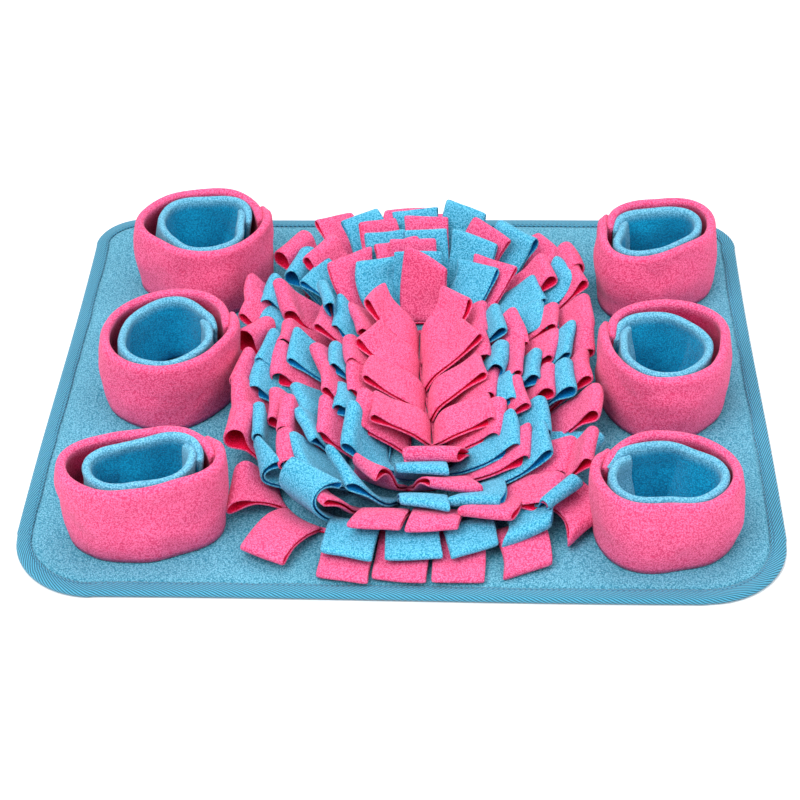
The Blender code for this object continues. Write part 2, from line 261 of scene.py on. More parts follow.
# Scales of the patterns in the cloth, as their nodes take them, and the slant of the twill in degrees
NUBS, PILE, CLOUDS = 900.0, 1250.0, 22.0
RIBS, YARN, TWIST = 235.0, 900.0, 2500.0
RIB_SLANT = 68


class Finish:
    """A new material, and the steps that make its nodes."""

    def __init__(self, name, roughness):
        self.material = bpy.data.materials.new(name)
        self.material.use_nodes = True
        self.tree = self.material.node_tree
        self.shader = self.tree.nodes["Principled BSDF"]
        self.fill(self.shader, Roughness=roughness)

    def put(self, socket, value):
        """Links an output to an input, or gives the input a plain value."""
        if isinstance(value, bpy.types.NodeSocket):
            self.tree.links.new(value, socket)
        else:
            socket.default_value = value

    def fill(self, node, **inputs):
        """Links or sets a node's inputs by name."""
        for key, value in inputs.items():
            self.put(node.inputs[key.replace("_", " ")], value)

    def add(self, kind, **inputs):
        """A new node with its inputs filled."""
        node = self.tree.nodes.new(kind)
        self.fill(node, **inputs)
        return node

    def ramp(self, source, low, high, low_at=0.0, high_at=1.0):
        """A colour that goes from low to high while the source goes from low_at to high_at."""
        node = self.add("ShaderNodeValToRGB", Fac=source)
        for end, place, tone in zip(node.color_ramp.elements, (low_at, high_at), (low, high)):
            end.position = place
            end.color = tone
        return node.outputs["Color"]

    def times_plus(self, source, share, more):
        """A source times a share, plus more."""
        node = self.add("ShaderNodeMath")
        node.operation = "MULTIPLY_ADD"
        for socket, value in zip(node.inputs, (source, share, more)):
            self.put(socket, value)
        return node.outputs[0]

    def tinted(self, share, under, tint):
        """A colour multiplied by a tint, by that share."""
        node = self.add("ShaderNodeMix")
        node.data_type = "RGBA"
        node.blend_type = "MULTIPLY"
        self.fill(node, Factor=share, A=under, B=tint)
        return node.outputs["Result"]

    def raised(self, height, strength, distance):
        """Raises the surface by a height pattern."""
        bump = self.add("ShaderNodeBump", Strength=strength, Distance=distance, Height=height)
        self.fill(self.shader, Normal=bump.outputs["Normal"])


def shaded(base, share):
    """A colour made darker or lighter."""
    return tuple(min(1.0, part * share) for part in base) + (1.0,)


def deepened(base, share):
    """A colour made darker and richer."""
    return tuple(share * part**1.2 for part in base) + (1.0,)


def paled(base, share, bloom):
    """A colour made lighter and mixed with that share of white."""
    return tuple(min(1.0, part * share) * (1 - bloom) + bloom for part in base) + (1.0,)


def fleece(name, base, bloom, hollow_shade=None):
    """Brushed fleece: small felted nubs with tips paled by loose fibre, and faint shading.

    bloom is how much loose fibre there is. Where a shade colour is given, the cloth deepens to it as
    painted shade by its per-vertex mask, below the rims on the inner side of the cups.
    """
    found = bpy.data.materials.get(name)
    if found:
        return found
    finish = Finish(name, roughness=0.95)
    place = finish.add("ShaderNodeTexCoord").outputs["Object"]
    nubs = finish.add("ShaderNodeTexVoronoi", Vector=place, Scale=NUBS)
    pile = finish.add("ShaderNodeTexNoise", Vector=place, Scale=PILE, Detail=2.0, Roughness=0.6)
    cloud = finish.add("ShaderNodeTexNoise", Vector=place, Scale=CLOUDS, Detail=2.0)
    grain = finish.times_plus(nubs.outputs["Distance"], -0.6, pile.outputs["Fac"])
    tone = finish.ramp(grain, deepened(base, 0.80), paled(base, 1.34, bloom), low_at=0.04, high_at=0.40)
    shade = finish.ramp(cloud.outputs["Fac"], (0.90, 0.90, 0.90, 1), (1.0, 1.0, 1.0, 1), low_at=0.3,
                        high_at=0.7)
    tone = finish.tinted(1.0, tone, shade)
    # painted shade: tinted towards the shade colour by the per-vertex mask that the cups set below their
    # rims
    if hollow_shade is not None:
        sunk = finish.add("ShaderNodeAttribute")
        sunk.attribute_name = "sunk"
        tint = tuple(low / high for low, high in zip(hollow_shade, base)) + (1.0,)
        tone = finish.tinted(sunk.outputs["Fac"], tone, tint)
    finish.raised(grain, strength=0.85, distance=0.0008)
    glow = shaded([0.55 + part * 0.45 for part in base], 1.0)
    finish.fill(finish.shader, Base_Color=tone, Specular_IOR_Level=0.06, Sheen_Weight=2.8 * bloom,
                Sheen_Roughness=0.4, Sheen_Tint=glow)
    return finish.material


def twill(name, base):
    """Woven tape: fine slanting ribs that follow the tape round its corners."""
    finish = Finish(name, roughness=0.75)
    place = finish.add("ShaderNodeTexCoord").outputs["UV"]
    turned = finish.add("ShaderNodeMapping", Vector=place, Rotation=(0, 0, math.radians(RIB_SLANT)))
    ribs = finish.add("ShaderNodeTexWave", Vector=turned.outputs["Vector"], Scale=RIBS, Distortion=0.5,
                      Detail=1.0, Detail_Scale=3.0)
    yarn = finish.add("ShaderNodeTexNoise", Vector=place, Scale=YARN, Detail=2.0)
    tone = finish.ramp(ribs.outputs["Fac"], shaded(base, 0.45), shaded(base, 1.5), low_at=0.1, high_at=0.8)
    height = finish.times_plus(yarn.outputs["Fac"], 0.25, ribs.outputs["Fac"])
    finish.raised(height, strength=0.9, distance=0.0005)
    finish.fill(finish.shader, Base_Color=tone, Specular_IOR_Level=0.25, Sheen_Weight=0.15)
    return finish.material


def thread(name, base):
    """Sewing thread, mottled by its twist."""
    finish = Finish(name, roughness=0.6)
    place = finish.add("ShaderNodeTexCoord").outputs["Object"]
    twist = finish.add("ShaderNodeTexNoise", Vector=place, Scale=TWIST)
    tone = finish.ramp(twist.outputs["Fac"], shaded(base, 0.7), shaded(base, 1.3))
    finish.fill(finish.shader, Base_Color=tone)
    return finish.material


# ---------------------------------------------------------------- shared steps

def finish_piece(bm, name, finish, replaced=(), layer=0.0, levels=1, inside=None):
    """Turns a bmesh in millimetres into a dressed piece in metres.

    replaced are the solids that it stands for, and layer is the thickness that its cloth is given, in
    metres. levels says how often it is subdivided, and inside is the finish of the cloth's other side.
    """
    bmesh.ops.scale(bm, vec=(MM, MM, MM), verts=bm.verts)
    for face in bm.faces:
        face.smooth = True
    mesh = bpy.data.meshes.new(name)
    bm.to_mesh(mesh)
    bm.free()
    mesh.materials.append(finish)
    piece = bpy.data.objects.new(name, mesh)
    bpy.context.collection.objects.link(piece)
    if layer:
        thick = piece.modifiers.new("Cloth", "SOLIDIFY")
        thick.thickness = layer
        thick.offset = 0.0
        thick.use_even_offset = False
        # for the loops, inside is a painted shade finish on the cloth's inner side
        if inside:
            mesh.materials.append(inside)
            thick.material_offset = 1
    if levels:
        soft = piece.modifiers.new("Soft", "SUBSURF")
        soft.levels = soft.render_levels = levels
    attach(piece, "root")
    if replaced:
        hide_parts(*replaced)
    return piece


def drift(point, size, amount, seed=0.0):
    """A smooth, unhurried wander of up to that many millimetres."""
    return amount * noise.noise(point / size + Vector((seed, 2.7 * seed, 0)))


def smooth(share):
    """Rises from 0 to 1 with soft ends."""
    share = min(1.0, max(0.0, share))
    return share * share * (3 - 2 * share)


def grid(bm, across, along):
    """A flat sheet to drape: its corners run from -1 to 1 both ways."""
    return bmesh.ops.create_grid(bm, x_segments=across, y_segments=along, size=1.0)["verts"]


def lengths_along(points):
    """How far each point lies from the first, along the line through them."""
    lengths = [0.0]
    for here, there in zip(points, points[1:]):
        lengths.append(lengths[-1] + (there - here).length)
    return lengths


def mat_top():
    """Height at which the pieces stand that are sewn to the mat."""
    return settings().mat.field / MM + GAP


# ---------------------------------------------------------------- base mat and binding

def on_outline(x, y, inset):
    """Where a point of the unit square's edge lies on the mat's outline, that far inside it."""
    mat = settings().mat
    depth = mat.depth / MM / 2
    narrowing = (mat.width - mat.depth) / MM / 2 * (min(1.0, inset / depth)) ** 2
    half = Vector((mat.width / MM / 2 - inset - narrowing, depth - inset))
    point = Vector((x * half.x, y * half.y))
    corner = (mat.near_corner if y < 0 else mat.far_corner) / MM
    radius = min(max(0.0, corner - inset), half.x, half.y)
    centre = Vector((math.copysign(half.x - radius, x), math.copysign(half.y - radius, y)))
    off = Vector(((point.x - centre.x) * math.copysign(1, x), (point.y - centre.y) * math.copysign(1, y)))
    if off.x > 0 and off.y > 0:
        point = centre + (point - centre).normalized() * radius
    elif abs(x) >= abs(y):
        point.x -= math.copysign(EDGE_WAVE, x) * math.sin(math.pi * y)
    else:
        point.y += math.copysign(EDGE_WAVE, y) * math.sin(math.pi * x)
    return point


def panel_height(inset, point):
    """Height of the mat's top that far inside its edge."""
    mat = settings().mat
    flap = (mat.tape + mat.flap) / MM + GAP
    field = mat.field / MM
    rise = smooth((inset - mat.lap / MM - GAP) / EDGE_RISE)
    crown = CROWN * math.exp(-((inset - CROWN_AT) / CROWN_WIDTH) ** 2)
    return flap + (field - flap + crown + drift(Vector((point.x, point.y, 0)), *MAT_WAVES)) * rise


def panel_insets():
    """How far in each ring of the panel lies, from its middle out: close together under the binding."""
    mat = settings().mat
    close = [mat.tape / MM + GAP] + EDGE_RINGS
    far = mat.depth / MM / 2
    count = PANEL_RINGS - len(close) + 1
    spread = [close[-1] + (far - close[-1]) * ring / count for ring in range(1, count + 1)]
    return list(reversed(close + spread))


class SNUFFLE_OT_base_mat(bpy.types.Operator):
    """The blue fleece mat that everything is sewn to"""
    bl_idname = "snuffle.base_mat"
    bl_label = "Base mat"

    def execute(self, context):
        mat = settings().mat
        insets = panel_insets()
        bm = bmesh.new()
        for under in (False, True):
            made = grid(bm, 2 * PANEL_RINGS, 2 * PANEL_RINGS)
            for vert in made:
                ring = max(abs(vert.co.x), abs(vert.co.y))
                inset = insets[round(ring * PANEL_RINGS)]
                point = Vector((0, 0))
                if ring > 0:
                    point = on_outline(vert.co.x / ring, vert.co.y / ring, inset)
                height = panel_height(inset, point)
                if under:
                    height = mat.tape / MM + GAP if inset < UNDERSIDE else 0.0
                vert.co = Vector((point.x, point.y, height))
            if under:
                bmesh.ops.reverse_faces(bm, faces=list({face for vert in made for face in vert.link_faces}))
        bmesh.ops.bridge_loops(bm, edges=[edge for edge in bm.edges if edge.is_boundary])
        bmesh.ops.recalc_face_normals(bm, faces=bm.faces)
        finish = fleece("mat fleece", settings().colours.mat, bloom=0.10)
        piece = finish_piece(bm, "fleece_mat", finish, ["mat_panel"], levels=0)
        return {"FINISHED"}


def tape_section(across):
    """Inset and height of the middle of the tape, from its upper inner edge round to its lower one."""
    mat = settings().mat
    tape = mat.tape / MM
    lap = mat.lap / MM
    low = tape / 2
    high = 2 * tape + mat.flap / MM + 2 * GAP - tape / 2
    radius = (high - low) / 2
    flat = lap - tape / 2 - radius
    whole = 2 * flat + math.pi * radius
    gone = across * whole
    if gone < flat:
        return lap - gone, high + TAPE_PUFF * math.sin(math.pi * gone / flat)
    if gone < flat + math.pi * radius:
        turn = (gone - flat) / radius
        return tape / 2 + radius - radius * math.sin(turn), low + radius + radius * math.cos(turn)
    return lap - (whole - gone), low


def edge_round(count):
    """Evenly spaced points of the mat's outline with the way outwards at each, and its whole length."""
    fine = []
    for side in range(4):
        for step in range(OUTLINE_STEPS):
            at = -1 + 2 * step / OUTLINE_STEPS
            x, y = [(at, -1), (1, at), (-at, 1), (-1, -at)][side]
            fine.append(on_outline(x, y, 0.0))
    fine.append(fine[0].copy())
    lengths = lengths_along(fine)
    points = []
    for index in range(count):
        target = lengths[-1] * index / count
        step = bisect_right(lengths, target) - 1
        share = (target - lengths[step]) / (lengths[step + 1] - lengths[step])
        points.append(fine[step].lerp(fine[step + 1], share))
    rounds = []
    for index, point in enumerate(points):
        ahead = points[(index + 1) % count] - points[index - 1]
        rounds.append((point, Vector((ahead.y, -ahead.x)).normalized()))
    return rounds, lengths[-1]


class SNUFFLE_OT_binding(bpy.types.Operator):
    """The twill tape folded round the mat's edge, and its stitches"""
    bl_idname = "snuffle.binding"
    bl_label = "Binding"

    def execute(self, context):
        mat = settings().mat
        rounds, whole = edge_round(TAPE_ALONG)
        bm = bmesh.new()
        grid(bm, TAPE_ALONG, TAPE_ACROSS)
        weave = bm.loops.layers.uv.new("cloth")
        for face in bm.faces:
            for corner in face.loops:
                along, across = (corner.vert.co.x + 1) / 2, (corner.vert.co.y + 1) / 2
                corner[weave].uv = (along * whole * MM, across * 2 * mat.lap)
        for vert in bm.verts:
            point, out = rounds[round((vert.co.x + 1) / 2 * TAPE_ALONG) % TAPE_ALONG]
            inset, height = tape_section((vert.co.y + 1) / 2)
            loose = max(0.0, inset * MM / mat.lap) ** 2
            inset += loose * drift(Vector((point.x, point.y, 0)), *TAPE_WAVES, seed=3.0)
            place = point - out * inset
            vert.co = Vector((place.x, place.y, height))
        bmesh.ops.remove_doubles(bm, verts=bm.verts, dist=0.0001)
        bmesh.ops.recalc_face_normals(bm, faces=bm.faces)
        finish = twill("teal tape", settings().colours.tape)
        piece = finish_piece(bm, "binding_tape", finish, ["edge_binding"], layer=mat.tape,
                             levels=0)
        stitches = self.stitches(rounds, whole)
        return {"FINISHED"}

    def stitches(self, rounds, whole):
        """One short, round-ended stitch after another along the tape's inner edge."""
        mat = settings().mat
        bm = bmesh.new()
        count = int(whole * MM / mat.pitch)
        shape = Matrix.Diagonal((mat.stitch / MM / 2, STITCH_WIDTH, STITCH_HEIGHT, 1.0))
        height = tape_section(STITCH_AT)[1] + mat.tape / MM / 2 + STITCH_PROUD
        for index in range(count):
            place = index / count * len(rounds)
            point, out = rounds[int(place)]
            after = rounds[(int(place) + 1) % len(rounds)][0]
            point = point.lerp(after, place % 1.0) - out * (mat.lap / MM - STITCH_IN)
            turn = Matrix.Rotation(math.atan2(out.y, out.x) + math.pi / 2, 4, "Z")
            put = Matrix.Translation((point.x, point.y, height))
            bmesh.ops.create_icosphere(bm, subdivisions=1, radius=1.0, matrix=put @ turn @ shape)
        finish = thread("teal thread", settings().colours.thread)
        return finish_piece(bm, "binding_stitches", finish, levels=0)


# ---------------------------------------------------------------- cups

def compass(radii, angle):
    """A smooth radius between measured ones."""
    place = angle / TAU * len(radii)
    index = math.floor(place)
    share = place - index
    before, here, there, after = (radii[(index + shift) % len(radii)] for shift in (-1, 0, 1, 2))
    pull_here = (there - before) / 2
    pull_there = (after - here) / 2
    rise = there - here
    return (here + share * pull_here + share**2 * (3 * rise - 2 * pull_here - pull_there)
            + share**3 * (pull_here + pull_there - 2 * rise))


def cup_wall(cup, radii, angle, height, floor):
    """A point of a ring's middle line and the way outwards there."""
    up = (height - floor) / (cup.height - floor)
    middle = Vector((cup.x + cup.lean * (1 - up), cup.y))
    outer = 0.0 if cup.x > 0 else math.pi
    step = 0.05  # radians

    def at(turn):
        """The middle line's point that way from the cup's middle."""
        tuck = cup.tuck * (1 - up) ** 2 * smooth(math.cos(turn - outer) + TUCK_PAST)
        reach = compass(radii, turn % TAU) + cup.flare * (1 - up) - tuck
        return middle + reach * Vector((math.cos(turn), math.sin(turn)))

    ahead = at(angle + step) - at(angle - step)
    return at(angle), Vector((ahead.y, -ahead.x)).normalized()


def cup_section(share, wall, rim, floor, roll):
    """Distance out from a ring's middle line and height, going up its outside and down its inside."""
    half = wall / 2
    top = rim - half - roll
    straight = top - floor
    arc = math.pi * (half + roll)
    gone = share * (2 * straight + arc)
    if gone < straight:
        up = gone / straight
        return half + roll * up**3, floor + gone
    if gone < straight + arc:
        turn = (gone - straight) / (half + roll)
        return (half + roll) * math.cos(turn), top + (half + roll) * math.sin(turn)
    down = gone - straight - arc
    up = 1 - down / straight
    return -half - roll * up**3, top - down


def creased(wander):
    """Turns a smooth wander from -1 to 1 into rounded hills that meet in creases."""
    return abs(wander) ** CREASE_CURVE - 0.4


def pinch(angle, up, seed):
    """How far a lining bulges in below its rim, in soft lobes that meet in creases."""
    turned = angle + PINCH_TURN * seed + PINCH_SLANT * up
    lobe = abs(math.sin(PINCH_LOBES / 2 * turned)) ** CREASE_CURVE
    return (1 - up) ** 0.6 * (PINCH_LEAST + PINCH_DEPTH * lobe) * smooth(up * 6 + 0.2)


def dented(body, up, seed):
    """How far a ring's wall lies out of line, most at half its height."""
    dent = drift(body, *WALL_WAVES, seed) + drift(body, *WALL_PUCKERS, seed + 9)
    dent += creased(drift(body, CREASE_SIZE, 1.0, seed + 2)) * CREASE_DEPTH + CREASE_OUT
    return dent * math.sin(math.pi * (up * 0.9 + 0.05))


def lap_step(run, lap):
    """How far a ring's end is moved aside to lap over the other: 1 at the end, 0 well past the lap."""
    return smooth(1 - (1 - run) * TAU / (lap + LAP_EASE))


def strip_length(cup, radii, rim):
    """Length round a ring at half its height, in metres."""
    steps = 90
    floor = mat_top()
    points = [cup_wall(cup, radii, TAU * step / steps, rim / 2, floor)[0] for step in range(steps + 1)]
    return MM * lengths_along(points)[-1]


class SNUFFLE_OT_cups(bpy.types.Operator):
    """Six cups: a pink band round a blue lining, each a doubled strip with its ends lapped"""
    bl_idname = "snuffle.cups"
    bl_label = "Cups"

    def execute(self, context):
        cups = settings().cups
        colours = settings().colours
        # painted shade: the band's inner side below its rim is tinted to the fold colour
        pink = fleece("pink fleece", colours.pink, bloom=0.075, hollow_shade=colours.fold)
        # the lining's base is the pale rim colour, partly painted light; below the rim it is tinted to
        # painted shade
        blue = fleece("lining fleece", colours.rim, bloom=0.08, hollow_shade=colours.hollow_shade)
        for cup in CUPS:
            self.ring(cup, BAND, cup.rim, cup.height, pink, cups.layer)
            self.ring(cup, LINING, cup.lining, cup.height - cups.drop / MM, blue, cups.lining_layer)
        return {"FINISHED"}

    def ring(self, cup, kind, radii, rim, finish, cloth):
        """One doubled strip, sewn into a ring with its ends lapped."""
        cups = settings().cups
        floor = mat_top()
        layer = cloth / MM
        mean = sum(radii) / len(radii)
        lap = cups.lap / MM / mean
        start, way = (180 - kind.start, -kind.way) if cup.x > 0 else (kind.start, kind.way)
        seed = SEED_STEP * abs(cup.x + cup.y) + kind.seed
        bm = bmesh.new()
        grid(bm, RING_ALONG, RING_ACROSS)
        sunk = bm.verts.layers.float.new("sunk")
        for vert in bm.verts:
            run = (vert.co.x + 1) / 2
            share = 0.5 + 0.5 * math.copysign(abs(vert.co.y) ** RIM_FINER, vert.co.y)
            gone = run * (TAU + lap) * mean
            to_end = min(run, 1 - run) * (TAU + lap) * mean
            shut = smooth(to_end / SHUT_OVER)
            out, height = cup_section(share, layer + LAYER_GAP * shut, rim - layer / 2, floor + layer / 2,
                                      kind.roll * shut * cups.roll / MM)
            angle = math.radians(start) + way * run * (TAU + lap)
            point, away = cup_wall(cup, radii, angle, height, floor)
            up = (height - floor) / (rim - floor)
            out += dented(Vector((point.x, point.y, height)), up, seed)
            out += (lap_step(run, lap) - lap_step(1 - run, lap)) * (layer + LAP_GAP)
            # painted shade: on the inner side, the mask grows from a little below the rim down into the cup
            vert[sunk] = smooth((rim - height - SHADE_FROM) / SHADE_OVER) if share > 0.5 else 0.0
            if kind is LINING:
                out -= pinch(angle, up, seed)
                # painted light: the shade is left off near the lining's lapped end, so that a facet there
                # shows as lit
                vert[sunk] *= smooth((gone - FACET + FACET_SLANT * (rim - height)) / FACET_EDGE)
            lift = drift(Vector((point.x, point.y, 0)), *RIM_WAVES, seed + 4) * up**2
            lift -= END_DROP * up * (1 - smooth(to_end / END_DROP_OVER))
            place = point + away * out
            vert.co = Vector((place.x, place.y, height + lift))
        bmesh.ops.recalc_face_normals(bm, faces=bm.faces)
        node = kind.node + cup.name
        piece = finish_piece(bm, node.replace("cup_", "fleece_"), finish, [node],
                             layer=cloth, levels=0)
        strip = strip_length(cup, radii, rim) + cups.lap


# ---------------------------------------------------------------- rows of loops

def sewing_line(row):
    """The row's line on the mat, anticlockwise from the middle of its front: points and ways outwards."""
    front = Vector((row.x, -row.front, 0))
    corners = [
        (1, row.near - row.front, row.near, -90),
        (1, row.back - row.far, row.far, 0),
        (-1, row.back - row.far, row.far, 90),
        (-1, row.near - row.front, row.near, 180),
    ]
    line = [(front, Vector((0, -1, 0)))]
    for side, y, radius, start in corners:
        middle = Vector((row.x + side * (row.half - radius), y, 0))
        arc = []
        for step in range(ARC_STEPS + 1):
            angle = math.radians(start + 90 * step / ARC_STEPS)
            out = Vector((math.cos(angle), math.sin(angle), 0))
            arc.append((middle + radius * out, out))
        last, out = line[-1]
        line += [(last.lerp(arc[0][0], part / SIDE_STEPS), out) for part in range(1, SIDE_STEPS)] + arc
    line.append((front, Vector((0, -1, 0))))
    return line


def bowed(point):
    """How far the middle of the pile wanders to the right towards its front."""
    share = smooth((BOW_BACK - point.y) / BOW_BACK_OVER) * smooth((point.y - BOW_FRONT) / BOW_FRONT_OVER)
    return Vector((BOW * share * max(0.0, 1 - abs(point.x - PILE_X) / BOW_WIDTH), 0, 0))


def leans(row, point, out):
    """How far a loop leans below and above its knee, in radians, where the row faces that way."""
    front, side, back = max(0.0, -out.y) ** 2, out.x**2, max(0.0, out.y) ** 2
    low = front * row.low_front + side * row.low_side + back * row.low_back
    high = front * row.high_front + side * row.high_side + back * row.high_back
    free = 1.0
    for cup in CUPS:
        free -= CROWDING * max(0.0, CROWDED - math.hypot(point.x - cup.x, point.y - cup.y))
    return math.radians(low * free), math.radians(high * free)


def bent(low, high, curl, whole):
    """Where a loop's spine runs, every SPINE_STEP from its root: how far out, how far up and its lean."""
    gone, rise = 0.0, 0.0
    spine = []
    for step in range(int(whole / SPINE_STEP) + 2):
        up = step * SPINE_STEP
        lean = low + (high - low) * smooth((up - KNEE) / KNEE_BEND + 0.5)
        lean += curl * smooth((up / whole - CURL_FROM) / (1 - CURL_FROM))
        spine.append((gone, rise, lean))
        gone += SPINE_STEP * math.sin(lean)
        rise += SPINE_STEP * math.cos(lean)
    return spine


class Strip:
    """One row's strip of cloth along its sewing line."""

    def __init__(self, row):
        self.row = row
        self.line = sewing_line(row)
        self.lengths = lengths_along([point for point, out in self.line])
        self.round = self.lengths[-1]
        self.base = mat_top()
        self.top = self.base + ROOT

    def foot(self, place):
        """Where a loop starts that is sewn there, and the way outwards."""
        place %= self.round
        index = min(max(bisect_right(self.lengths, place), 1), len(self.lengths) - 1)
        span = self.lengths[index] - self.lengths[index - 1]
        share = (place - self.lengths[index - 1]) / span if span else 0.0
        (here, out_here), (there, out_there) = self.line[index - 1], self.line[index]
        point = here.lerp(there, share)
        return point + Vector((0, 0, self.top)), out_here.lerp(out_there, share).normalized()


def ruffled(point, floor):
    """Pushes the loops of all rows about together, more the higher they reach."""
    push = RUFFLE * (point.z - floor) / RUFFLE_TOP
    aside = math.sin(point.y / RUFFLE_ASIDE + math.sin(point.x / RUFFLE_TURN))
    along = math.sin(point.x / RUFFLE_ALONG + math.sin(point.y / RUFFLE_TURN))
    return point + Vector((push * aside, push * along, 0))


# How one loop of a row lies apart from its fellows, in millimetres and degrees. slide moves it along the row
# and swing turns it about the upright, both anticlockwise from above. lean bends it further out and curl
# bends its tip on. twist turns the tip about the loop's own length and tilt in the plane of the cloth,
# anticlockwise from the pile's middle. more is added to its length and eye is how wide its fold stands open.
Pose = namedtuple("Pose", "row loop slide swing lean curl twist tilt more eye")

# The pose of any other loop is drawn from these spans, from slide to eye.
LOOSE = [(-3, 3), (-8, 8), (-5, 3), (-5, 28), (-11, 11), (-7, 7), (-2, 2), (0.8, 1.6)]

